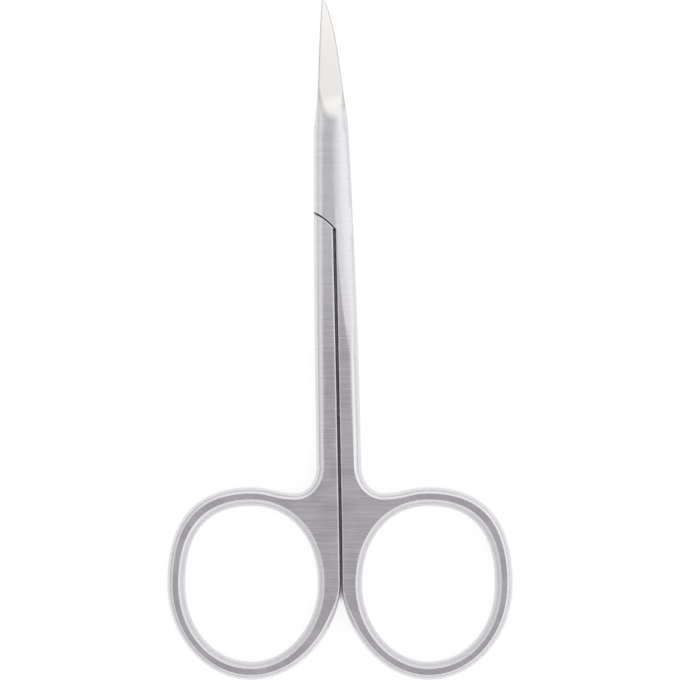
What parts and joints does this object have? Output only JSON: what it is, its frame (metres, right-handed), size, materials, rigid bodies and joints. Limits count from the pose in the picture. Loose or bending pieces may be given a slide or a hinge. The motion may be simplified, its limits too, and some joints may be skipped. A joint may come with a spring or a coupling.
{
  "type": "cuticle scissors",
  "caption": "Slim steel cuticle scissors with short bowed blades, a lap joint on a sunk pivot screw, straight shanks and oval finger rings; the halves turn to open and close.",
  "frame": {"origin": "middle of the closed scissors' outline, on the plane of the flat back that they lie on", "axes": "+Y from the rings to the blade tips, +Z from the back to the front along the pivot, +X towards the front half's ring"},
  "size_m": [0.0508, 0.1, 0.0057],
  "materials": {
    "brushed_steel": "satin, brushed across the shanks, polished blades and edges",
    "screw_steel": "turned and polished"
  },
  "bodies": {
    "front": {"front_half": "brushed_steel", "pivot_screw": "screw_steel"},
    "rear": {"rear_half": "brushed_steel"}
  },
  "joints": [
    {"name": "opening", "type": "hinge", "parent": "front", "child": "rear", "pos_m": [-0.0013, 0.0238, 0.0021], "axis": [0, 0, -1], "range_deg": [0, 60]}
  ]
}
